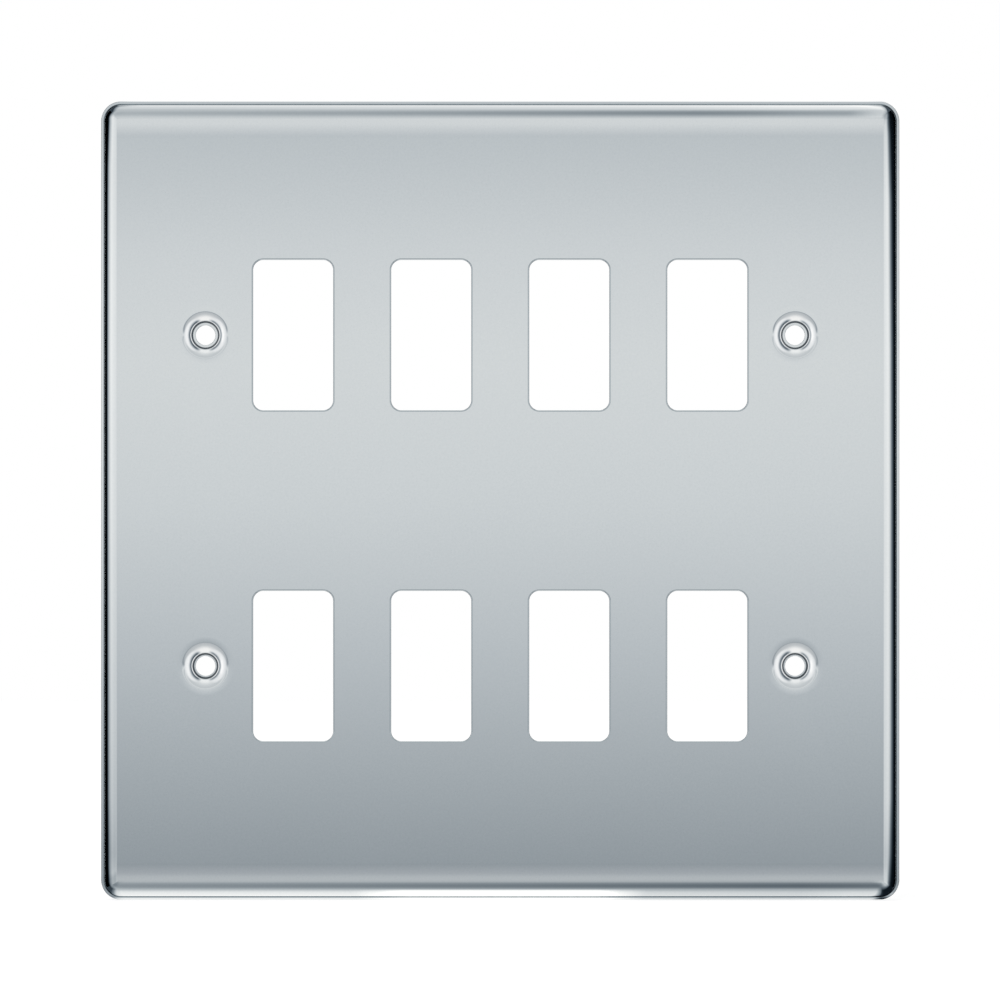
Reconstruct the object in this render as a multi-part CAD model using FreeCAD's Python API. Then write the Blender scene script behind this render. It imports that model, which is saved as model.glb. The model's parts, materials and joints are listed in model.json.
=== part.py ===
import FreeCAD
import Part
import math
import os

# Grid switch plate for eight modules, pressed and pierced from one steel sheet, then chrome plated.
# Millimetres. X runs to the right and Z up, and the face looks along -Y.
# The wall is the plane Y = 0, and the origin lies on it, behind the middle of the plate.

# Overall size, over the trimmed edge
plate_width = 146.0
plate_height = 146.0
plate_depth = 7.0
sheet = 1.0

# Drawn edge, from the wall to the face
lip_width = 0.58
lip_thickness = 0.7
lip_root_bevel = 0.2
skirt_draft = 4.0
bend_inside_radius = 1.6
mouth_bevel = 0.6
face_corner_radius = 0.2

# Pierced openings for the modules
columns = 4
rows = 2
module_pitch = 25.15
row_pitch = 60.3
aperture_width = 14.6
aperture_height = 27.4
aperture_corner_radius = 1.85
aperture_edge_bevel = 0.25

# Dimples for countersunk M3.5 screws, level with the rows and out beyond the last modules
screw_from_module = 16.0
screw_hole_radius = 1.8
dimple_floor_land = 0.55
dimple_depth = 1.3
dimple_slope = 45.0
dimple_mouth_inside_radius = 0.3

# How far a cutting tool runs past the metal
overrun = 2.0

# Worked out from the sizes above
draft = math.radians(skirt_draft)
slope = math.radians(dimple_slope)
inside_height = plate_depth - sheet
bend_radius = bend_inside_radius + sheet
dimple_mouth_radius = dimple_mouth_inside_radius + sheet
dimple_floor_reach = screw_hole_radius + dimple_floor_land
dimple_back_reach = dimple_floor_reach + sheet * math.tan(slope / 2)
dimple_cone_depth = dimple_depth - dimple_mouth_radius * (1 - math.cos(slope))
dimple_run = dimple_mouth_radius * math.sin(slope) + dimple_cone_depth / math.tan(slope)
dimple_reach = dimple_floor_reach + dimple_run


def point(distance, height):
    """A point of a section: its distance inwards from the edge, and its height off the wall."""
    return FreeCAD.Vector(0, -height, distance)


def line(start, end):
    return Part.LineSegment(start, end).toShape()


def arc(centre, radius, start_angle, end_angle):
    """An arc of a section. Angles are in degrees: 0 is inwards and 90 is off the wall."""

    def at(angle):
        turn = math.radians(angle)
        return centre + point(radius * math.cos(turn), radius * math.sin(turn))

    return Part.Arc(at(start_angle), at((start_angle + end_angle) / 2), at(end_angle)).toShape()


def chain(pieces):
    """The face inside a closed section: the pieces in order, joined by straight lines."""
    edges = []
    for piece, following in zip(pieces, pieces[1:] + pieces[:1]):
        end = piece.lastVertex(True).Point
        start = following.firstVertex(True).Point
        edges.append(piece)
        if end.distanceToPoint(start) > Part.Precision.confusion():
            edges.append(line(end, start))
    return Part.Face(Part.Wire(edges))


def turned(shape, angle, position):
    """A copy of the shape, turned about the Y axis and then moved."""
    copy = shape.copy()
    copy.rotate(FreeCAD.Vector(0, 0, 0), FreeCAD.Vector(0, 1, 0), angle)
    copy.translate(position)
    return copy


def rounded_block(width, height, corner_radius, section, low, high):
    """A rounded rectangle whose edge has the given section, from the rim to the corners' axes."""
    across = width / 2 - corner_radius
    up = height / 2 - corner_radius
    core_corner = FreeCAD.Vector(-across, -high, -up)
    core = Part.makeBox(2 * across, high - low, 2 * up, core_corner)

    pieces = []
    for half_length, reach, angles in ((across, height / 2, (0, 180)), (up, width / 2, (90, 270))):
        side = section.extrude(FreeCAD.Vector(2 * half_length, 0, 0))
        side.translate(FreeCAD.Vector(-half_length, 0, -reach))
        pieces += [turned(side, angle, FreeCAD.Vector(0, 0, 0)) for angle in angles]

    outline = section.copy()
    outline.translate(FreeCAD.Vector(0, 0, -corner_radius))
    corner = outline.revolve(FreeCAD.Vector(0, 0, 0), FreeCAD.Vector(0, 1, 0), 90)
    for angle, side_x, side_z in ((0, -1, -1), (90, -1, 1), (180, 1, 1), (270, 1, -1)):
        pieces.append(turned(corner, angle, FreeCAD.Vector(side_x * across, 0, side_z * up)))
    return core.multiFuse(pieces).removeSplitter()


def beside_skirt(height, into_metal):
    """The point at this height that lies the given distance behind the outer face of the skirt."""
    along = (height - lip_thickness + into_metal * math.sin(draft)) / math.cos(draft)
    distance = lip_width + along * math.sin(draft) + into_metal * math.cos(draft)
    return point(distance, height)


def pressed_form(corner_radius):
    """The outside of the pressing as a full block: lip, drafted skirt, bend and flat face."""
    root = point(lip_width - lip_root_bevel, lip_thickness)
    bend = beside_skirt(plate_depth - bend_radius, bend_radius)
    section = chain([
        line(point(0, 0), point(0, lip_thickness)),
        line(root, beside_skirt(lip_thickness + lip_root_bevel, 0)),
        arc(bend, bend_radius, 180 - skirt_draft, 90),
        line(point(corner_radius, plate_depth), point(corner_radius, 0)),
    ])
    return rounded_block(plate_width, plate_height, corner_radius, section, 0, plate_depth)


def hollow(corner_radius):
    """The space behind the face: the inside of the same bend, with a bevelled mouth at the wall."""
    skirt_end = beside_skirt(mouth_bevel, sheet)
    mouth = point(skirt_end.z - mouth_bevel, 0)
    bend = beside_skirt(plate_depth - bend_radius, bend_radius)
    section = chain([
        line(point(mouth.z, -overrun), mouth),
        line(mouth, skirt_end),
        arc(bend, bend_inside_radius, 180 - skirt_draft, 90),
        line(point(corner_radius, inside_height), point(corner_radius, -overrun)),
    ])
    return rounded_block(plate_width, plate_height, corner_radius, section, -overrun, inside_height)


def aperture_punch():
    """The tool for one module opening, with the fall that a punch draws into the front edge."""
    corner_radius = aperture_edge_bevel + aperture_corner_radius
    low = inside_height - overrun
    high = plate_depth + overrun
    section = chain([
        line(point(0, high), point(0, plate_depth)),
        line(point(aperture_edge_bevel, plate_depth - aperture_edge_bevel), point(aperture_edge_bevel, low)),
        line(point(corner_radius, low), point(corner_radius, high)),
    ])
    width = aperture_width + 2 * aperture_edge_bevel
    height = aperture_height + 2 * aperture_edge_bevel
    return rounded_block(width, height, corner_radius, section, low, high)


def dimple():
    """The ring of sheet pressed back round a screw hole: rolled mouth, cone, floor and pierced hole."""
    floor_level = plate_depth - dimple_depth
    back_level = floor_level - sheet
    mouth = point(dimple_reach, plate_depth - dimple_mouth_radius)
    section = chain([
        arc(mouth, dimple_mouth_radius, 90, 90 + dimple_slope),
        line(point(dimple_floor_reach, floor_level), point(screw_hole_radius, floor_level)),
        line(point(screw_hole_radius, back_level), point(dimple_back_reach, back_level)),
        arc(mouth, dimple_mouth_inside_radius, 90 + dimple_slope, 90),
    ])
    return section.revolve(FreeCAD.Vector(0, 0, 0), FreeCAD.Vector(0, 1, 0), 360)


def dimple_seat():
    """The round of flat sheet that a dimple takes the place of."""
    start = FreeCAD.Vector(0, -plate_depth - overrun, 0)
    return Part.makeCylinder(dimple_reach, sheet + 2 * overrun, start, FreeCAD.Vector(0, 1, 0))


def steps(count, pitch):
    """Places along one direction, evenly spaced about the middle."""
    return [(index - (count - 1) / 2) * pitch for index in range(count)]


def front_plate():
    bend = beside_skirt(plate_depth - bend_radius, bend_radius)
    corner_radius = bend.z + face_corner_radius
    plate = pressed_form(corner_radius).cut(hollow(corner_radius))

    module_x = steps(columns, module_pitch)
    row_z = steps(rows, row_pitch)
    screw_x = (module_x[0] - screw_from_module, module_x[-1] + screw_from_module)
    screws = [FreeCAD.Vector(x, 0, z) for x in screw_x for z in (row_z[0], row_z[-1])]
    modules = [FreeCAD.Vector(x, 0, z) for x in module_x for z in row_z]

    seat = dimple_seat()
    punch = aperture_punch()
    tools = [turned(seat, 0, place) for place in screws]
    tools += [turned(punch, 0, place) for place in modules]
    plate = plate.cut(tools)

    ring = dimple()
    return plate.fuse([turned(ring, 0, place) for place in screws]).removeSplitter()


def main():
    os.makedirs("parts", exist_ok=True)
    plate = front_plate()
    print("front_plate", len(plate.Solids), "solid, valid:", plate.isValid())
    print("volume", round(plate.Volume), "mm3, dimple across", round(2 * dimple_reach, 2))
    plate.Solids[0].exportStep("parts/front_plate.step")


if __name__ == "__main__":
    main()
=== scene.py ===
import bpy
import json
import math
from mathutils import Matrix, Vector
from mathutils.geometry import delaunay_2d_cdt


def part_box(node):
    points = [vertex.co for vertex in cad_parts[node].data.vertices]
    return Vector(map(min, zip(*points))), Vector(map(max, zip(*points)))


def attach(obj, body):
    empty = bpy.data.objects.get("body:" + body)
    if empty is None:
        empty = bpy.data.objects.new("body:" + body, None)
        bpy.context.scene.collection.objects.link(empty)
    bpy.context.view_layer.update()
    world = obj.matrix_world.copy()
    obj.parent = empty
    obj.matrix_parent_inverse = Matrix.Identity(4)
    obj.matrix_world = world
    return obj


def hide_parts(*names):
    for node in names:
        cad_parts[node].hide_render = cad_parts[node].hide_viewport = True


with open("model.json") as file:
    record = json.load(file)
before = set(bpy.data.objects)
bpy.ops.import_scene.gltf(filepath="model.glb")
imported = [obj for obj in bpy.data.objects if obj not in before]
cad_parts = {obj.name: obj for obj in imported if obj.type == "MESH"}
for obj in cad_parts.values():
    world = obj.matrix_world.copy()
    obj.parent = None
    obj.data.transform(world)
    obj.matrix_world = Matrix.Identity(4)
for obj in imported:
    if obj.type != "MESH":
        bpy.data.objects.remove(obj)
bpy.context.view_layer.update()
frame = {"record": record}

# Lengths are in millimetres, and are turned to metres where Blender takes them.
# A plan place is (x, z), a height is measured off the wall, and the face looks along -Y.
# Slopes and drafts are in degrees.
metres = 0.001

# Overall size and places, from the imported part
low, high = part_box("front_plate")
half_width = (high.x - low.x) / 2 / metres
half_height = (high.z - low.z) / 2 / metres
plate_depth = (high.y - low.y) / metres
record = frame["record"]
screw_mount = next(mount for mount in record["mounts"] if mount["name"] == "screw_holes")
screw_hole_radius = screw_mount["dims"]["hole_r_mm"]
screw_x = screw_mount["dims"]["spacing_x_mm"] / 2
screw_z = screw_mount["dims"]["spacing_y_mm"] / 2
screw_centres = [(x, z) for x in (-screw_x, screw_x) for z in (-screw_z, screw_z)]
openings = [row["box_m"] for row in record["physics"]["openings"] if "module" in row["name"]]
aperture_centres = [((a[0] + b[0]) / 2 / metres, (a[2] + b[2]) / 2 / metres) for a, b in openings]

# The pressing, as in the solid
sheet = 1.0
lip_width = 0.58
lip_thickness = 0.7
skirt_draft = 4.0
bend_inside_radius = 1.6
face_corner_radius = 0.2
aperture_width = 14.6
aperture_height = 27.4
aperture_corner_radius = 1.85
dimple_depth = 1.3
dimple_back_reach = 2.76
dimple_back_slope = 45.0

# Finer forms, which the solid has plainer or leaves out
mouth_round = 0.6
lip_edge_round = 0.08
lip_root_radius = 0.16
shoulder_reach = 6.95
shoulder_slope = 3.0
shoulder_fade_start = 1.0
aperture_sink_reach = 0.27
aperture_sink_slope = 16.0
aperture_edge_round = 0.13
aperture_back_round = 0.06
screw_hole_round = 0.12

# The dimples, from the sag of the face round them in to the floor
dimple_sag_reach = 5.4
dimple_reach = 4.35
dimple_sag_slope = 0.45
dimple_wall_top_reach = 2.92
dimple_wall_top_slope = 39.0
dimple_wall_foot_reach = 2.73
dimple_wall_foot_slope = 40.5
dimple_shelf_width = 0.15
dimple_shelf_slope = 20.0
dimple_step_slope = 70.0
dimple_floor_reach = 2.25
lower_dimple_inset = 0.2
dimple_back_round = 0.15

# Fineness of the mesh
bend_steps = 28
corner_steps = 20
small_steps = 6
shoulder_rows = 10
dimple_turns = 120
place_digits = 5
outline_tolerance = 1e-6

# The slots of the plate's materials, in the order that make_plate fills them. The last three hold darker
# chrome, which is painted shade.
polished, dull, painted_crease_shade, edge_shade, root_shade = range(5)

# Materials. The scales of the noises are per metre.
chrome_tones = ((0.625, 0.660, 0.675), (0.649, 0.682, 0.695))
chrome_grain_scale = 2600.0
chrome_grain_detail = 3.0
chrome_patch_scale = 60.0
chrome_patch_detail = 2.0
chrome_worn_share = 1.4
chrome_relief = 0.02
chrome_relief_depth = 0.02
dull_tones = ((0.40, 0.42, 0.43), (0.50, 0.52, 0.53))
dull_roughness = (0.42, 0.55)
dull_metallic = 0.55
dull_cloud_scale = 45.0
dull_cloud_detail = 6.0
dull_grain_scale = 1800.0
dull_grain_detail = 2.0
dull_relief = 0.15
dull_relief_depth = 0.03
noise_low, noise_high = 0.3, 0.7

# The camera, square to the plate
camera_distance = 1522.0
camera_place = (-0.04, 0.105)
field_width = 183.0
sensor_width = 36.0

# The studio. A direction in it is a unit vector, whose parts run from -1 to 1.
white = (1.0, 1.0, 1.0, 1.0)
even_light = 0.7
soft_box_reach = 0.16
side_colour = (0.93, 0.93, 0.945)
corner_start, corner_end = 0.2, 0.5
corner_share = 0.66
floor_reach = 1500.0
floor_own_light = 0.8
floor_shade = 0.28

# How a grey tone of the studio is coloured: the powers for red, green and blue
tint_powers = (1.1, 1.0, 0.92)

# The graded cards beside the plate
flag_gap = 3.0
lower_flag_rise = 0.05
lean_start = 7.0
largest_inward_shift = 2.0

# Lengths of rays: a card is clear to metal between the first two, and fades out between the last two
flag_sight = (0.0, 0.0, 18.0, 32.0)
side_flag_sight = (3.6, 4.5, 10.0, 21.0)

# Worked out from the sizes above
draft = math.radians(skirt_draft)
bend_radius = bend_inside_radius + sheet
bend_height = plate_depth - bend_radius
inside_height = plate_depth - sheet


def beside_skirt(height, into_metal):
    """How far in from the edge a point lies, at this height and this far behind the skirt's outer face."""
    along = (height - lip_thickness + into_metal * math.sin(draft)) / math.cos(draft)
    return lip_width + along * math.sin(draft) + into_metal * math.cos(draft)


bend_inset = beside_skirt(bend_height, bend_radius)
corner_radius = bend_inset + face_corner_radius


class Skin:
    """Gathers faces with an exact normal at each corner, and joins corners that share a place."""

    def __init__(self):
        self.places = []
        self.numbers = {}
        self.faces = []
        self.normals = []
        self.slots = []

    def number(self, place):
        key = tuple(round(value, place_digits) for value in place)
        if key not in self.numbers:
            self.numbers[key] = len(self.places)
            self.places.append(place)
        return self.numbers[key]

    def add(self, corners, slot):
        """A face from (place, normal) corners, turned so that it faces the way its normals do."""
        kept = []
        for place, normal in corners:
            index = self.number(place)
            if index not in [other for other, _ in kept]:
                kept.append((index, normal))
        if len(kept) < 3:
            return
        a, b, c = (Vector(self.places[index]) for index, _ in kept[:3])
        facing = (b - a).cross(c - a)
        if len(kept) == 4:
            facing += (c - a).cross(Vector(self.places[kept[3][0]]) - a)
        meant = sum((normal for _, normal in kept), Vector((0, 0, 0)))
        if facing.dot(meant) < 0:
            kept.reverse()
        self.faces.append([index for index, _ in kept])
        self.normals.append([normal for _, normal in kept])
        self.slots.append(slot)

    def grid(self, rows, slot):
        """Faces between rows of (place, normal) points, where a row's last point meets its first."""
        for row, following in zip(rows, rows[1:]):
            for index in range(len(row)):
                after = (index + 1) % len(row)
                self.add([row[index], row[after], following[after], following[index]], slot)

    def build(self, name, materials):
        mesh = bpy.data.meshes.new(name)
        mesh.from_pydata([Vector(place) * metres for place in self.places], [], self.faces)
        for material in materials:
            mesh.materials.append(material)
        mesh.polygons.foreach_set("material_index", self.slots)
        mesh.polygons.foreach_set("use_smooth", [True] * len(self.faces))
        mesh.normals_split_custom_set([tuple(normal) for face in self.normals for normal in face])
        mesh.update()
        thing = bpy.data.objects.new(name, mesh)
        bpy.context.scene.collection.objects.link(thing)
        return thing


def arc(centre, radius, start, end, steps, hollow=False):
    """Points (distance, height, normal distance, normal height) along an arc of a section.

    Angles are in degrees: 0 is inwards from the edge and 90 is off the wall.
    """
    facing = -1 if hollow else 1
    points = []
    for step in range(steps + 1):
        angle = math.radians(start + (end - start) * step / steps)
        across, up = math.cos(angle), math.sin(angle)
        points.append((centre[0] + radius * across, centre[1] + radius * up, facing * across, facing * up))
    return points


def slope_points(start, end_reach, end_slope, steps):
    """Points (reach, depth, slope) on an arc from one such point to another reach and slope."""
    start_reach, start_depth, start_slope = start
    start_sine, end_sine = math.sin(math.radians(start_slope)), math.sin(math.radians(end_slope))
    radius = (start_reach - end_reach) / (end_sine - start_sine)
    points = []
    for step in range(steps + 1):
        sine = start_sine + (end_sine - start_sine) * step / steps
        drop = math.sqrt(1 - start_sine * start_sine) - math.sqrt(1 - sine * sine)
        reach = start_reach - radius * (sine - start_sine)
        points.append((reach, start_depth + radius * drop, math.degrees(math.asin(sine))))
    return points


def front_section(points):
    """Section points from (reach, depth below the face, slope)."""
    section = []
    for reach, depth, slope in points:
        angle = math.radians(slope)
        section.append((reach, plate_depth - depth, -math.sin(angle), math.cos(angle)))
    return section


def shoulder(distance):
    """How far the face falls away this close to one edge, and how fast: a drawn face is soft there."""
    steepest = math.tan(math.radians(shoulder_slope))
    width = shoulder_reach - bend_inset
    near = max(0.0, shoulder_reach - max(distance, bend_inset))
    drop = steepest * near * near / (2 * width)
    slope = -steepest * near / width
    if distance < bend_inset:
        inside = bend_inset - max(distance, 0.0)
        fade = bend_inset - shoulder_fade_start
        used = min(inside, fade)
        drop += steepest * (used - used * used / (2 * fade))
        slope = -steepest * (1 - used / fade)
    return drop, slope


def settle(x, height, z, normal):
    """The place and normal of a point of the sharp form, once the shoulder has been let down."""
    drop_x, slope_x = shoulder(half_width - abs(x))
    drop_z, slope_z = shoulder(half_height - abs(z))
    start, end = lip_thickness + lip_root_radius, bend_height
    share = min(max((height - start) / (end - start), 0.0), 1.0)
    growth = 1 / (end - start) if 0.0 < share < 1.0 else 0.0
    fall = drop_x + drop_z
    shrink = 1 - fall * growth
    fall_x = -slope_x * math.copysign(1.0, x)
    fall_z = -slope_z * math.copysign(1.0, z)
    tilted = Vector((
        normal[0] + share * fall_x / shrink * normal[1],
        -normal[1] / shrink,
        normal[2] + share * fall_z / shrink * normal[1],
    )).normalized()
    return (x, -(height - fall * share), z), tilted


def ring(half_x, half_z, radius, inset, stops_x, stops_z):
    """Plan places (x, z) and outward directions round a rounded rectangle drawn in by an inset.

    The stops are places along a straight side, from one corner's axis to the other's.
    """
    across, up = half_x - radius, half_z - radius
    reach = radius - inset
    places = []

    def side(points, direction):
        for x, z in points:
            places.append((x + reach * direction[0], z + reach * direction[1], *direction))

    def corner(x, z, start):
        for step in range(1, corner_steps):
            angle = start - math.pi / 2 * step / corner_steps
            outward = (math.cos(angle), math.sin(angle))
            places.append((x + reach * outward[0], z + reach * outward[1], *outward))

    side([(x, up) for x in stops_x], (0.0, 1.0))
    corner(across, up, math.pi / 2)
    side([(across, z) for z in reversed(stops_z)], (1.0, 0.0))
    corner(across, -up, 0.0)
    side([(x, -up) for x in reversed(stops_x)], (0.0, -1.0))
    corner(-across, -up, -math.pi / 2)
    side([(-across, z) for z in stops_z], (-1.0, 0.0))
    corner(-across, up, -math.pi)
    return places


def stations(half):
    """Places across the plate where its shoulder is divided, from one corner's axis to the other's."""
    step = (shoulder_reach - corner_radius) / shoulder_rows
    insets = [corner_radius + step * index for index in range(shoulder_rows + 1)]
    return [inset - half for inset in insets] + [half - inset for inset in reversed(insets)]


stations_x = stations(half_width)
stations_z = stations(half_height)


def rim_rows(section):
    """The section (distance, height, normal inwards, normal up) carried round the plate's outline."""
    rows = []
    for distance, height, across, up in section:
        row = []
        outline = ring(half_width, half_height, corner_radius, distance, stations_x, stations_z)
        for x, z, out_x, out_z in outline:
            row.append(settle(x, height, z, (-across * out_x, up, -across * out_z)))
        rows.append(row)
    return rows


def add_rim(skin):
    """Bend, skirt and lip outside, then the lip's foot, the mouth, the skirt and the bend inside."""
    top = (corner_radius, plate_depth, 0.0, 1.0)
    bend_centre = (bend_inset, bend_height)
    bend = arc(bend_centre, bend_radius, 90, 180 - skirt_draft, bend_steps)
    root_height = lip_thickness + lip_root_radius
    root_centre = (beside_skirt(root_height, -lip_root_radius), root_height)
    root = arc(root_centre, lip_root_radius, -skirt_draft, -90, small_steps, hollow=True)
    edge = lip_edge_round
    lip = arc((edge, lip_thickness - edge), edge, 90, 180, small_steps)
    lip += arc((edge, edge), edge, 180, 270, small_steps)
    skin.grid(rim_rows([top] + bend + root[:1]), polished)
    # The lip's root takes darker chrome: painted shade, a dark line in the hollow where the lip meets the
    # skirt.
    skin.grid(rim_rows(root), root_shade)
    skin.grid(rim_rows(root[-1:] + lip), polished)

    mouth_centre = (beside_skirt(mouth_round, sheet - mouth_round), mouth_round)
    foot = [(edge, 0.0, 0.0, -1.0), (mouth_centre[0], 0.0, 0.0, -1.0)]
    mouth = arc(mouth_centre, mouth_round, -90, -skirt_draft, small_steps)
    inner_bend = arc(bend_centre, bend_inside_radius, 180 - skirt_draft, 90, bend_steps // 2, hollow=True)
    inner_top = (corner_radius, inside_height, 0.0, -1.0)
    skin.grid(rim_rows(foot + mouth + inner_bend + [inner_top]), dull)


def add_shoulder(skin, height, up, slot):
    """The border of the face, as strips and corner squares that follow the shoulder."""
    middle = shoulder_rows
    rows = [[settle(x, height, z, (0.0, up, 0.0)) for x in stations_x] for z in stations_z]
    for j in range(len(stations_z) - 1):
        for i in range(len(stations_x) - 1):
            if i == middle and j == middle:
                continue
            skin.add([rows[j][i], rows[j][i + 1], rows[j + 1][i + 1], rows[j + 1][i]], slot)


def round_hole(centre, radius):
    turns = [2 * math.pi * step / dimple_turns for step in range(dimple_turns)]
    return [(centre[0] + radius * math.cos(turn), centre[1] + radius * math.sin(turn)) for turn in turns]


def aperture_ring(outset):
    """The outline of one opening, let out by an outset, with outward directions."""
    across = aperture_width / 2 - aperture_corner_radius
    up = aperture_height / 2 - aperture_corner_radius
    half_x, half_z = aperture_width / 2, aperture_height / 2
    return ring(half_x, half_z, aperture_corner_radius, -outset, (-across, across), (-up, up))


def aperture_outline(centre, outset):
    return [(centre[0] + x, centre[1] + z) for x, z, _, _ in aperture_ring(outset)]


def add_flat(skin, height, up, slot, outset):
    """The middle of the face with its holes, cut into triangles between the outlines."""
    edge_x, edge_z = half_width - shoulder_reach, half_height - shoulder_reach
    outlines = [[(-edge_x, -edge_z), (edge_x, -edge_z), (edge_x, edge_z), (-edge_x, edge_z)]]
    outlines += [aperture_outline(centre, outset) for centre in aperture_centres]
    outlines += [round_hole(centre, dimple_sag_reach) for centre in screw_centres]
    points = []
    loops = []
    for outline in outlines:
        loops.append(list(range(len(points), len(points) + len(outline))))
        points += [Vector(place) for place in outline]
    inside_with_holes = 2
    cut = delaunay_2d_cdt(points, [], loops, inside_with_holes, outline_tolerance)
    places, triangles = cut[0], cut[2]
    for triangle in triangles:
        corners = [((places[index].x, -height, places[index].y), Vector((0, -up, 0))) for index in triangle]
        skin.add(corners, slot)


def aperture_rows(section, centre):
    """The section (outset, height, normal across, normal up) carried round an opening."""
    rows = []
    for outset, height, across, up in section:
        row = []
        for x, z, out_x, out_z in aperture_ring(outset):
            normal = Vector((across * out_x, -up, across * out_z))
            row.append(((centre[0] + x, -height, centre[1] + z), normal))
        rows.append(row)
    return rows


def add_aperture(skin, centre):
    """The wall of one opening: the face sinks to it, turns in over a round, and is cut through."""
    start = (aperture_sink_reach, 0.0, 0.0)
    sink = slope_points(start, aperture_edge_round, aperture_sink_slope, small_steps)
    turn = slope_points(sink[-1], 0.0, 90.0, small_steps)
    # The sink and the turn take darker chrome: painted shade, a dark line round the opening's edge.
    skin.grid(aperture_rows(front_section(sink + turn), centre), edge_shade)
    back = aperture_back_round
    back_centre = (back, inside_height + back)
    wall = front_section(turn[-1:]) + arc(back_centre, back, 180, 270, small_steps // 2)
    skin.grid(aperture_rows(wall, centre), polished)


def revolve(section, centre):
    """The section (reach, height, normal across, normal up) turned about a hole's axis."""
    rows = []
    for reach, height, across, up in section:
        row = []
        for step in range(dimple_turns):
            turn = 2 * math.pi * step / dimple_turns
            out_x, out_z = math.cos(turn), math.sin(turn)
            normal = Vector((across * out_x, -up, across * out_z)).normalized()
            row.append(((centre[0] + reach * out_x, -height, centre[1] + reach * out_z), normal))
        rows.append(row)
    return rows


def add_dimple_wall(skin, centre, inset):
    """The front of a dimple: sag, mouth, wall, a narrow bright shelf and the steep step to the floor."""
    sag = slope_points((dimple_sag_reach, 0.0, 0.0), dimple_reach, dimple_sag_slope, small_steps)
    mouth = slope_points(sag[-1], dimple_wall_top_reach - inset, dimple_wall_top_slope, 2 * small_steps)
    wall = slope_points(mouth[-1], dimple_wall_foot_reach - inset, dimple_wall_foot_slope, small_steps)
    reach, depth, _ = wall[-1]
    shelf_reach = reach - dimple_shelf_width
    shelf_depth = depth + dimple_shelf_width * math.tan(math.radians(dimple_shelf_slope))
    shelf = [(reach, depth, dimple_shelf_slope), (shelf_reach, shelf_depth, dimple_shelf_slope)]
    step = [
        (shelf_reach, shelf_depth, dimple_step_slope),
        (dimple_floor_reach - inset, dimple_depth, dimple_step_slope),
    ]
    skin.grid(revolve(front_section(sag + mouth + wall + shelf), centre), polished)
    # The steep step takes near-black chrome: painted shade, a dark ring for the shade deep in the dimple.
    skin.grid(revolve(front_section(step), centre), painted_crease_shade)


def add_dimple_floor(skin, centre, inset):
    """The floor of a dimple and the wall of its hole."""
    edge = screw_hole_round
    floor_height = plate_depth - dimple_depth
    floor = front_section([(dimple_floor_reach - inset, dimple_depth, 0.0)])
    floor += arc((screw_hole_radius + edge, floor_height - edge), edge, 90, 180, small_steps)
    floor.append((screw_hole_radius, floor_height - sheet, -1.0, 0.0))
    skin.grid(revolve(floor, centre), polished)


def add_dimple_back(skin, centre):
    """The bulge behind a dimple: its flat foot, its cone and the round where it meets the sheet."""
    back_height = inside_height - dimple_depth
    slope = math.radians(dimple_back_slope)
    cone = (math.sin(slope), -math.cos(slope))
    mouth = dimple_back_reach + dimple_depth / math.tan(slope)
    rounding = dimple_back_round
    behind = [
        (screw_hole_radius, back_height, 0.0, -1.0),
        (dimple_back_reach, back_height, 0.0, -1.0),
        (dimple_back_reach, back_height, *cone),
        (mouth - rounding, inside_height - rounding, *cone),
        (mouth + rounding, inside_height, 0.0, -1.0),
        (dimple_sag_reach, inside_height, 0.0, -1.0),
    ]
    skin.grid(revolve(behind, centre), dull)


def add_dimple(skin, centre):
    """A dimple round its screw hole. The lower ones have their wall and floor drawn in a little."""
    inset = lower_dimple_inset if centre[1] < 0.0 else 0.0
    add_dimple_wall(skin, centre, inset)
    add_dimple_floor(skin, centre, inset)
    add_dimple_back(skin, centre)


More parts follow.
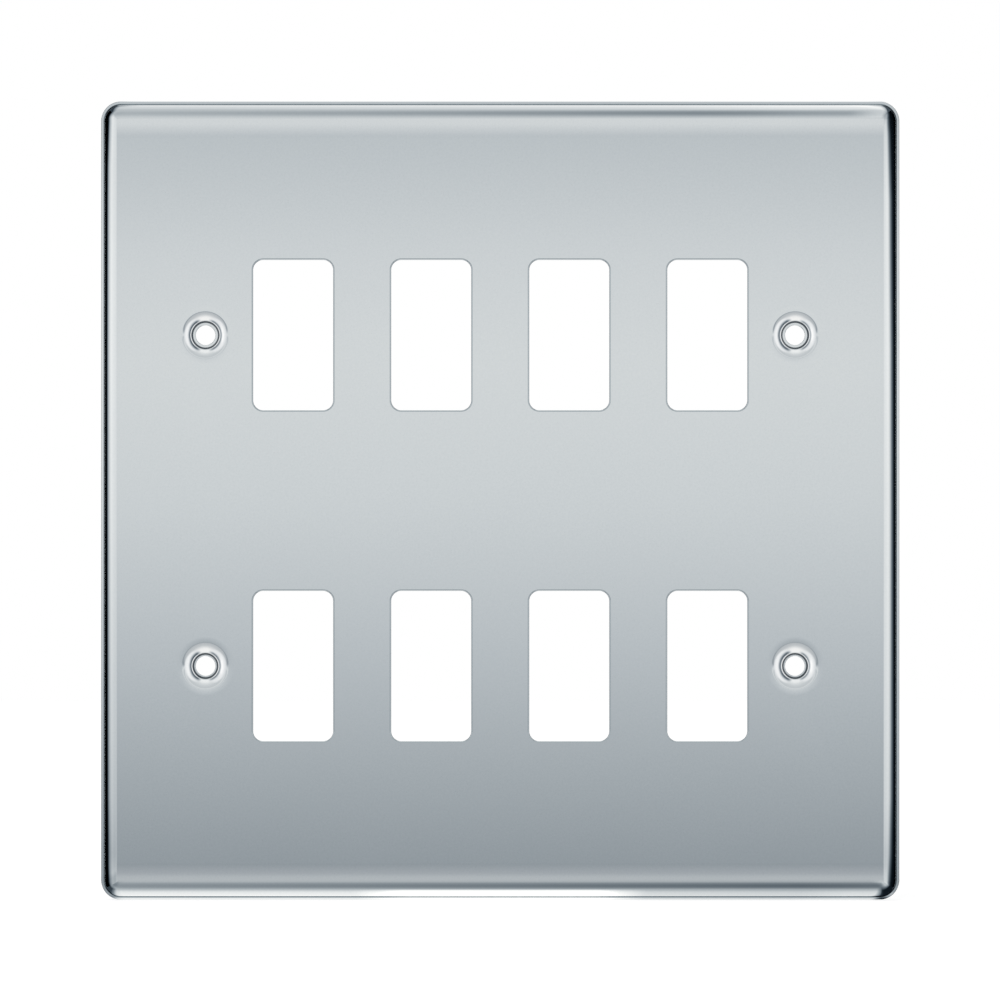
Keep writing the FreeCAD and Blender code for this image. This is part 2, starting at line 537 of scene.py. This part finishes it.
class Nodes:
    """Short ways to add and join shader nodes in one tree."""

    def __init__(self, tree):
        self.tree = tree
        tree.nodes.clear()

    def put(self, socket, value):
        if isinstance(value, bpy.types.NodeSocket):
            self.tree.links.new(value, socket)
        else:
            socket.default_value = value

    def add(self, kind, inputs=None, **settings):
        """A new node, with values or other nodes' outputs put into its inputs by name or number."""
        node = self.tree.nodes.new(kind)
        for name, value in settings.items():
            setattr(node, name, value)
        for socket, value in (inputs or {}).items():
            self.put(node.inputs[socket], value)
        return node

    def math(self, operation, first, second=0.0):
        return self.add("ShaderNodeMath", {0: first, 1: second}, operation=operation).outputs[0]

    def span(self, value, from_low, from_high, to_low=0.0, to_high=1.0, smooth=False):
        """The value carried from one range to another, and held at its ends."""
        inputs = {0: value, 1: from_low, 2: from_high, 3: to_low, 4: to_high}
        kind = "SMOOTHSTEP" if smooth else "LINEAR"
        return self.add("ShaderNodeMapRange", inputs, interpolation_type=kind).outputs[0]

    def mix(self, share, first, second):
        """A mix of two colours. A plain colour is given as three numbers."""
        node = self.add("ShaderNodeMix", {"Factor": share}, data_type="RGBA")
        for name, part in (("A", first), ("B", second)):
            socket = next(one for one in node.inputs if one.name == name and one.type == "RGBA")
            self.put(socket, (*part, 1.0) if isinstance(part, tuple) else part)
        return next(one for one in node.outputs if one.type == "RGBA")

    def ramp(self, value, stops):
        """A colour ramp from (place, grey or colour) stops."""
        node = self.add("ShaderNodeValToRGB", {0: value})
        elements = node.color_ramp.elements
        middle = 0.5
        while len(elements) < len(stops):
            elements.new(middle)
        for element, (place, colour) in zip(elements, stops):
            tone = colour if isinstance(colour, tuple) else (colour, colour, colour)
            element.position = place
            element.color = (*tone, 1.0)
        return node.outputs[0]

    def curve(self, value, points, low_end=-1.0, high_end=1.0):
        """The result for a value between two ends, on straight lines through (value, result) points."""
        width = high_end - low_end
        stops = [((place - low_end) / width, result) for place, result in points]
        return self.ramp(self.span(value, low_end, high_end), stops)

    def blued(self, tone):
        """A grey tone as a colour: below full white it turns a little blue."""
        parts = {index: self.math("POWER", tone, power) for index, power in enumerate(tint_powers)}
        return self.add("ShaderNodeCombineXYZ", parts).outputs[0]

    def noise(self, scale, detail):
        """An even noise through the object."""
        place = self.add("ShaderNodeTexCoord").outputs["Object"]
        inputs = {"Vector": place, "Scale": scale, "Detail": detail}
        return self.add("ShaderNodeTexNoise", inputs).outputs["Fac"]

    def metal(self, metallic, colour, roughness, relief, strength, depth):
        """A plated surface with a faint relief of a depth in millimetres."""
        bump = self.add("ShaderNodeBump", {
            "Height": relief,
            "Strength": strength,
            "Distance": depth * metres,
        })
        surface = self.add("ShaderNodeBsdfPrincipled", {
            "Metallic": metallic,
            "Base Color": colour,
            "Roughness": roughness,
            "Normal": bump.outputs["Normal"],
        })
        self.finish(surface)

    def blend(self, share, first, second):
        """A mix of two shader nodes."""
        return self.add("ShaderNodeMixShader", {0: share, 1: first.outputs[0], 2: second.outputs[0]})

    def finish(self, shader, kind="ShaderNodeOutputMaterial"):
        self.add(kind, {"Surface": shader.outputs[0]})


def new_material(name):
    material = bpy.data.materials.new(name)
    material.use_nodes = True
    return material, Nodes(material.node_tree)


def chrome(name, share, roughness):
    """Bright chrome over polished steel: a mirror with a trace of pressing grain.

    The share is how much of its full colour the plating keeps, in red, green and blue. A share below one is
    painted shade: darker chrome that stands in for shade in hollows and at edges.
    """
    material, nodes = new_material(name)
    grain = nodes.noise(chrome_grain_scale, chrome_grain_detail)
    patches = nodes.noise(chrome_patch_scale, chrome_patch_detail)
    first, second = (tuple(part * kept for part, kept in zip(tone, share)) for tone in chrome_tones)
    tint = nodes.ramp(grain, [(noise_low, first), (noise_high, second)])
    worn = nodes.span(patches, noise_low, noise_high, roughness, chrome_worn_share * roughness)
    nodes.metal(1.0, tint, worn, patches, chrome_relief, chrome_relief_depth)
    return material


def dull_plating():
    """The back, where the plating is thin and was never polished."""
    material, nodes = new_material("dull_plating")
    cloud = nodes.noise(dull_cloud_scale, dull_cloud_detail)
    grain = nodes.noise(dull_grain_scale, dull_grain_detail)
    tint = nodes.ramp(cloud, [(noise_low, dull_tones[0]), (noise_high, dull_tones[1])])
    roughness = nodes.span(cloud, noise_low, noise_high, *dull_roughness)
    nodes.metal(dull_metallic, tint, roughness, grain, dull_relief, dull_relief_depth)
    return material


def make_plate():
    skin = Skin()
    add_rim(skin)
    add_shoulder(skin, plate_depth, 1.0, polished)
    add_shoulder(skin, inside_height, -1.0, dull)
    add_flat(skin, plate_depth, 1.0, polished, aperture_sink_reach)
    add_flat(skin, inside_height, -1.0, dull, aperture_back_round)
    for centre in aperture_centres:
        add_aperture(skin, centre)
    for centre in screw_centres:
        add_dimple(skin, centre)
    plate = skin.build("pressed_plate", [
        chrome("polished_chrome", share=(1.0, 1.0, 1.0), roughness=0.03),
        dull_plating(),
        # The last three are painted shade: darker copies of the polished chrome for the dimples' steps, the
        # openings' edges and the lip's root.
        chrome("painted_crease_shade_chrome", share=(0.02, 0.045, 0.07), roughness=0.2),
        chrome("painted_edge_shade_chrome", share=(0.64, 0.68, 0.70), roughness=0.05),
        chrome("painted_root_shade_chrome", share=(0.40, 0.45, 0.48), roughness=0.1),
    ])
    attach(plate, "root")
    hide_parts("front_plate")


def soft_box(nodes, up):
    """The colours of the soft box in front of the plate, from its foot to its head."""
    return nodes.curve(up, [
        (-soft_box_reach, (0.70, 0.71, 0.725)),
        (-0.12, (0.66, 0.68, 0.70)),
        (-0.10, (0.55, 0.57, 0.60)),
        (-0.045, (0.42, 0.455, 0.485)),
        (-0.019, (0.72, 0.745, 0.77)),
        (0.0, (0.925, 0.935, 0.94)),
        (0.017, (0.995, 0.995, 0.99)),
        (0.029, (0.94, 0.945, 0.95)),
        (0.044, (0.75, 0.775, 0.795)),
        (0.06, (0.77, 0.79, 0.81)),
        (0.12, (0.97, 0.97, 0.97)),
        (soft_box_reach, (0.97, 0.97, 0.97)),
    ], -soft_box_reach, soft_box_reach)


def side_light(nodes, to_right, behind):
    """The light of the left and the right side, from the front (-1) round to behind the plate (1)."""
    left = nodes.curve(behind, [
        (-1.0, 1.0), (-0.9, 1.1), (-0.76, 1.3), (-0.57, 1.52), (-0.42, 1.6), (-0.3, 1.15), (-0.22, 0.68),
        (-0.12, 0.5), (0.1, 0.45), (0.33, 0.38), (0.7, 0.36), (0.85, 0.05), (0.9, 0.0), (1.0, 0.0),
    ])
    right = nodes.curve(behind, [
        (-1.0, 1.0), (-0.9, 1.2), (-0.76, 1.4), (-0.57, 1.42), (-0.42, 0.95), (-0.3, 0.45), (-0.22, 0.26),
        (-0.12, 0.48), (0.0, 0.5), (0.33, 0.38), (0.7, 0.36), (0.85, 0.05), (0.9, 0.0), (1.0, 0.0),
    ])
    return nodes.mix(nodes.math("GREATER_THAN", to_right, 0.0), left, right)


def studio_light(nodes):
    """What metal sees of the studio: a graded soft box in front, lit sides and darker corners."""
    direction = nodes.add("ShaderNodeTexCoord").outputs["Generated"]
    parts = nodes.add("ShaderNodeSeparateXYZ", {0: direction})
    to_right, behind, up = (parts.outputs[axis] for axis in ("X", "Y", "Z"))
    sideways = nodes.math("ABSOLUTE", to_right)

    # How the light changes above and below the soft box
    beyond_box = nodes.curve(up, [
        (-1.0, 1.85), (-0.9, 1.85), (-0.78, 1.75), (-0.62, 1.42), (-0.44, 1.15), (-0.26, 1.05),
        (-soft_box_reach, 1.0), (soft_box_reach, 1.0), (0.26, 0.845), (0.44, 0.88), (0.62, 0.96),
        (0.78, 1.08), (0.9, 1.25), (1.0, 1.32),
    ])

    # How far sideways the front begins to give way to a side, and where the side is full
    side_start = nodes.curve(behind, [(-1.0, 0.28), (-0.1, 0.2), (0.17, 0.42), (0.77, 0.05), (1.0, 0.03)])
    side_end = nodes.curve(behind, [(-1.0, 0.5), (-0.1, 0.55), (0.17, 0.68), (0.77, 0.2), (1.0, 0.12)])
    sideness = nodes.span(sideways, side_start, side_end, smooth=True)
    strength = nodes.mix(sideness, beyond_box, side_light(nodes, to_right, behind))

    # The corners of the studio, between a side and its floor or ceiling, are darker
    cornering = nodes.math("MULTIPLY", sideways, nodes.math("ABSOLUTE", up))
    corner_light = nodes.span(cornering, corner_start, corner_end, 1.0, corner_share)
    strength = nodes.math("MULTIPLY", strength, corner_light)

    # The side light is even from top to bottom, and the soft box is not
    colour = nodes.mix(sideness, soft_box(nodes, up), side_colour)
    light = nodes.add("ShaderNodeVectorMath", {0: colour, 1: nodes.blued(strength)}, operation="MULTIPLY")
    return light.outputs[0]


def make_world():
    """A white studio. Metal and glass see it, the camera sees plain white, and the rest an even light."""
    world = bpy.data.worlds.new("studio")
    bpy.context.scene.world = world
    world.use_nodes = True
    nodes = Nodes(world.node_tree)
    path = nodes.add("ShaderNodeLightPath")
    studio = nodes.add("ShaderNodeBackground", {"Color": studio_light(nodes)})
    even = nodes.add("ShaderNodeBackground", {"Color": white, "Strength": even_light})
    plain = nodes.add("ShaderNodeBackground", {"Color": white})
    shiny = nodes.math("MAXIMUM", path.outputs["Is Glossy Ray"], path.outputs["Is Transmission Ray"])
    unseen = nodes.blend(shiny, even, studio)
    nodes.finish(nodes.blend(path.outputs["Is Camera Ray"], unseen, plain), "ShaderNodeOutputWorld")


def make_card(name, corners):
    """A flat sheet of stage material between four corners."""
    mesh = bpy.data.meshes.new(name)
    mesh.from_pydata([Vector(corner) * metres for corner in corners], [], [(0, 1, 2, 3)])
    card = bpy.data.objects.new(name, mesh)
    bpy.context.scene.collection.objects.link(card)
    return card


def make_floor():
    """A pale floor that the plate stands on. It is white to the camera, apart from the plate's shadow."""
    signs = ((-1, -1), (1, -1), (1, 1), (-1, 1))
    floor = make_card("floor", [(x * floor_reach, y * floor_reach, -half_height) for x, y in signs])
    floor.visible_glossy = False
    material, nodes = new_material("pale_floor")
    floor.data.materials.append(material)
    seen = nodes.add("ShaderNodeLightPath").outputs["Is Camera Ray"]
    own = nodes.add("ShaderNodeEmission", {"Strength": nodes.math("MULTIPLY", seen, floor_own_light)})
    matt = nodes.add("ShaderNodeBsdfDiffuse", {"Color": (floor_shade, floor_shade, floor_shade, 1.0)})
    nodes.finish(nodes.add("ShaderNodeAddShader", {0: own.outputs[0], 1: matt.outputs[0]}))


def flag_nodes(card):
    """A new material for a card: its nodes, and places across, in front of the wall and up."""
    material, nodes = new_material(card.name)
    card.data.materials.append(material)
    parts = nodes.add("ShaderNodeSeparateXYZ", {0: nodes.add("ShaderNodeTexCoord").outputs["Object"]})
    across, in_front, up = (
        nodes.math("MULTIPLY", parts.outputs[axis], sign / metres)
        for axis, sign in (("X", 1), ("Y", -1), ("Z", 1))
    )
    return nodes, across, in_front, up


def finish_flag(card, nodes, tone, sight):
    """The card shines with its tone, but is clear to metal that its sight leaves out."""
    clear_start, clear_end, fade_start, fade_end = (reach * metres for reach in sight)
    own = nodes.add("ShaderNodeEmission", {"Color": nodes.blued(tone)})
    clear = nodes.add("ShaderNodeBsdfTransparent")
    length = nodes.add("ShaderNodeLightPath").outputs["Ray Length"]
    past_start = nodes.math("GREATER_THAN", length, clear_start)
    short_of_end = nodes.math("LESS_THAN", length, clear_end)
    in_window = nodes.math("MULTIPLY", past_start, short_of_end)
    too_far = nodes.span(length, fade_start, fade_end, smooth=True)
    nodes.finish(nodes.blend(nodes.math("MAXIMUM", in_window, too_far), own, clear))
    card.visible_camera = False
    card.visible_diffuse = False
    card.visible_shadow = False


def make_flag(name, level, lean, tones, bright_sides, dark_sides, turns):
    """A narrow graded card just off the top or bottom edge of the plate. Only metal beside it sees it.

    The tones are (distance in front of the wall, tone) pairs. The sides are (place across, share) pairs:
    how the bright part and the dark part of the card change from left to right. Towards the wall the
    bright part leans inwards. The turns are (place across, start, end): where bright turns to dark.
    """
    near, far = tones[0][0], tones[-1][0]
    end = half_width + flag_gap
    corners = ((-end, -far), (end, -far), (end, -near), (-end, -near))
    card = make_card(name, [(x, y, level) for x, y in corners])
    nodes, across, in_front, _ = flag_nodes(card)
    tone = nodes.curve(in_front, tones, near, far)
    nearness = nodes.math("MAXIMUM", nodes.math("SUBTRACT", lean_start, in_front), 0.0)
    outwards = nodes.math("MULTIPLY", nodes.math("SIGN", across), nodes.math("MULTIPLY", nearness, lean))
    bright = nodes.curve(nodes.math("ADD", across, outwards), bright_sides, -end, end)
    dark = nodes.curve(across, dark_sides, -end, end)
    lit = nodes.math("MULTIPLY", tone, bright)
    darkness = nodes.math("MULTIPLY", nodes.math("SUBTRACT", 1.0, tone), dark)
    shaded = nodes.math("SUBTRACT", 1.0, darkness)
    turn_start = nodes.curve(across, [(place, start) for place, start, _ in turns], -end, end)
    turn_end = nodes.curve(across, [(place, stop) for place, _, stop in turns], -end, end)
    in_dark = nodes.span(in_front, turn_start, turn_end, smooth=True)
    finish_flag(card, nodes, nodes.mix(in_dark, lit, shaded), flag_sight)


def make_side_flag(name, side, tones, shifts, shares):
    """A narrow graded card off the left (-1) or right (1) side of the plate.

    The tones are (distance in front of the wall, tone) pairs. Along the side, (place up, value) pairs
    give how much farther out the tones lie, and the share of them that is there.
    """
    near, far = tones[0][0], tones[-1][0]
    foot, head = -half_height, half_height + flag_gap
    corners = ((-far, foot), (-near, foot), (-near, head), (-far, head))
    card = make_card(name, [(side * (half_width + flag_gap), y, z) for y, z in corners])
    nodes, _, in_front, up = flag_nodes(card)

    # A ramp holds no value below zero, so the shifts are raised while they are in it
    raised_shifts = [(place, value + largest_inward_shift) for place, value in shifts]
    raised = nodes.curve(up, raised_shifts, foot, head)
    shift = nodes.math("SUBTRACT", raised, largest_inward_shift)
    tone = nodes.curve(nodes.math("SUBTRACT", in_front, shift), tones, near, far)
    share = nodes.curve(up, shares, foot, head)
    finish_flag(card, nodes, nodes.math("MULTIPLY", tone, share), side_flag_sight)


def make_flags():
    """The cards that light and darken the lip, the skirt and the bend along the four sides."""
    make_flag(
        "lower_flag", -half_height + lower_flag_rise, lean=0.2,
        tones=[
            (0.0, 1.3), (3.0, 1.3), (5.3, 1.25), (6.2, 1.14), (6.9, 0.88), (7.5, 0.66), (8.2, 0.48),
            (9.0, 0.37), (10.1, 0.33), (11.6, 0.33), (13.8, 0.37), (18.0, 0.43), (28.5, 0.51),
            (32.0, 0.6), (37.0, 0.69),
        ],
        bright_sides=[
            (-76.0, 0.05), (-73.0, 0.06), (-71.8, 0.3), (-70.8, 0.85), (-69.5, 1.0), (-27.0, 1.0),
            (-22.0, 1.25), (-18.0, 1.6), (18.0, 1.6), (22.0, 1.15), (27.0, 0.82), (55.0, 0.76),
            (64.0, 0.85), (69.0, 0.85), (69.8, 0.05), (70.7, 0.01), (76.0, 0.01),
        ],
        dark_sides=[
            (-76.0, 0.95), (-73.0, 1.0), (-70.6, 0.86), (-55.0, 0.9), (0.0, 1.05), (36.0, 1.15),
            (55.0, 1.2), (68.4, 1.15), (69.5, 1.15), (71.0, 0.95), (73.0, 0.35), (76.0, 0.35),
        ],
        turns=[
            (-76.0, 5.8, 9.0), (-73.3, 5.8, 9.0), (-71.0, 6.8, 7.8), (68.6, 6.8, 7.8),
            (70.0, 6.5, 10.5), (76.0, 6.5, 10.5),
        ],
    )
    make_flag(
        "upper_flag", half_height + flag_gap, lean=0.74,
        tones=[
            (-2.0, 1.15), (1.0, 1.15), (2.1, 1.08), (4.0, 1.02), (5.2, 0.98), (6.4, 0.86), (7.4, 0.70),
            (8.5, 0.56), (9.7, 0.48), (11.1, 0.46), (13.0, 0.52), (15.4, 0.61), (19.0, 0.73),
            (25.0, 0.84), (31.0, 0.88),
        ],
        bright_sides=[
            (-76.0, 0.06), (-73.8, 0.49), (-72.0, 0.88), (-69.5, 0.95), (0.0, 1.0), (36.0, 1.04),
            (55.0, 1.15), (64.0, 1.15), (68.0, 1.17), (71.3, 1.33), (73.4, 0.96), (74.8, 0.6),
            (76.0, 0.1),
        ],
        dark_sides=[
            (-76.0, 0.57), (-72.0, 0.7), (-68.0, 0.65), (-55.0, 0.74), (-27.0, 0.86), (0.0, 1.0),
            (36.0, 1.18), (45.0, 1.13), (55.0, 0.96), (64.0, 0.89), (67.0, 0.52), (69.0, 0.3),
            (71.5, 0.15), (74.0, 0.6), (75.5, 0.95), (76.0, 0.95),
        ],
        turns=[
            (-76.0, 4.5, 10.0), (-72.0, 6.8, 7.8), (72.0, 6.8, 7.8), (75.5, 6.5, 11.0),
            (76.0, 6.5, 11.0),
        ],
    )
    make_side_flag(
        "left_flag", -1,
        tones=[
            (-2.0, 0.0), (3.7, 0.0), (4.4, 0.07), (5.5, 0.54), (6.6, 0.81), (7.7, 1.05), (8.8, 1.18),
            (10.1, 1.14), (11.6, 1.1), (13.5, 1.07), (16.1, 1.04), (23.0, 1.0),
        ],
        shifts=[
            (-73.0, 1.7), (-71.0, 1.8), (-69.5, 1.8), (-67.0, 1.3), (-61.0, 1.1), (-54.5, 0.7),
            (-43.6, 0.5), (-27.0, 0.3), (0.0, 0.0), (27.5, -0.1), (44.0, 0.1), (55.0, 0.25),
            (61.0, 0.5), (65.0, 1.1), (69.7, 1.8), (72.0, 1.4), (76.0, 1.4),
        ],
        shares=[
            (-73.0, 0.54), (-69.5, 0.55), (-68.4, 0.68), (-67.0, 0.62), (-64.6, 0.57), (-61.0, 0.63),
            (-54.5, 0.71), (-43.6, 0.79), (-27.0, 0.88), (0.0, 1.0), (27.5, 1.07), (44.0, 1.06),
            (61.0, 1.0), (72.5, 1.0), (76.0, 0.65),
        ],
    )
    make_side_flag(
        "right_flag", 1,
        tones=[
            (-2.0, 0.0), (3.0, 0.01), (4.0, 0.03), (5.3, 0.155), (6.4, 0.36), (7.45, 0.755),
            (8.55, 1.055), (9.8, 1.19), (11.2, 1.19), (13.0, 1.14), (15.4, 1.12), (19.2, 1.07),
            (23.0, 1.03),
        ],
        shifts=[
            (-73.0, 2.4), (-71.0, 3.3), (-69.5, 2.9), (-67.0, 2.1), (-64.6, 1.4), (-61.0, 1.1),
            (-54.5, 0.35), (-43.6, 0.1), (0.0, 0.0), (27.5, 0.25), (44.0, 1.0), (55.0, 1.4),
            (61.0, 2.3), (65.0, 2.9), (67.2, 3.3), (69.7, 4.2), (71.8, 3.9), (76.0, 0.9),
        ],
        shares=[
            (-73.0, 0.85), (-70.0, 0.8), (-67.0, 0.7), (-64.6, 0.7), (-61.0, 0.78), (-54.5, 0.86),
            (-43.6, 0.9), (-27.0, 0.95), (0.0, 1.0), (27.5, 1.03), (55.0, 1.0), (61.0, 0.95),
            (69.7, 0.85), (72.0, 0.6), (76.0, 0.48),
        ],
    )


def make_lamp(name, place, size, power):
    """A large soft lamp that points at the plate. The metal shows the studio instead of its shape."""
    light = bpy.data.lights.new(name, "AREA")
    light.size = size * metres
    light.energy = power
    lamp = bpy.data.objects.new(name, light)
    bpy.context.scene.collection.objects.link(lamp)
    lamp.location = Vector(place) * metres
    lamp.rotation_euler = (-Vector(place)).to_track_quat("-Z", "Y").to_euler()
    lamp.visible_glossy = False


def make_camera():
    camera_data = bpy.data.cameras.new("camera")
    camera_data.sensor_width = sensor_width
    camera_data.lens = sensor_width * camera_distance / field_width
    camera = bpy.data.objects.new("camera", camera_data)
    bpy.context.scene.collection.objects.link(camera)
    camera.location = Vector((camera_place[0], -camera_distance, camera_place[1])) * metres
    camera.rotation_euler = (math.pi / 2, 0, 0)
    bpy.context.scene.camera = camera


make_camera()
make_plate()
make_world()
make_floor()
make_flags()
make_lamp("key_lamp", place=(-500.0, -900.0, 1100.0), size=800.0, power=8.0)
make_lamp("fill_lamp", place=(800.0, -700.0, 600.0), size=800.0, power=3.0)
bpy.context.scene.view_settings.view_transform = "Standard"
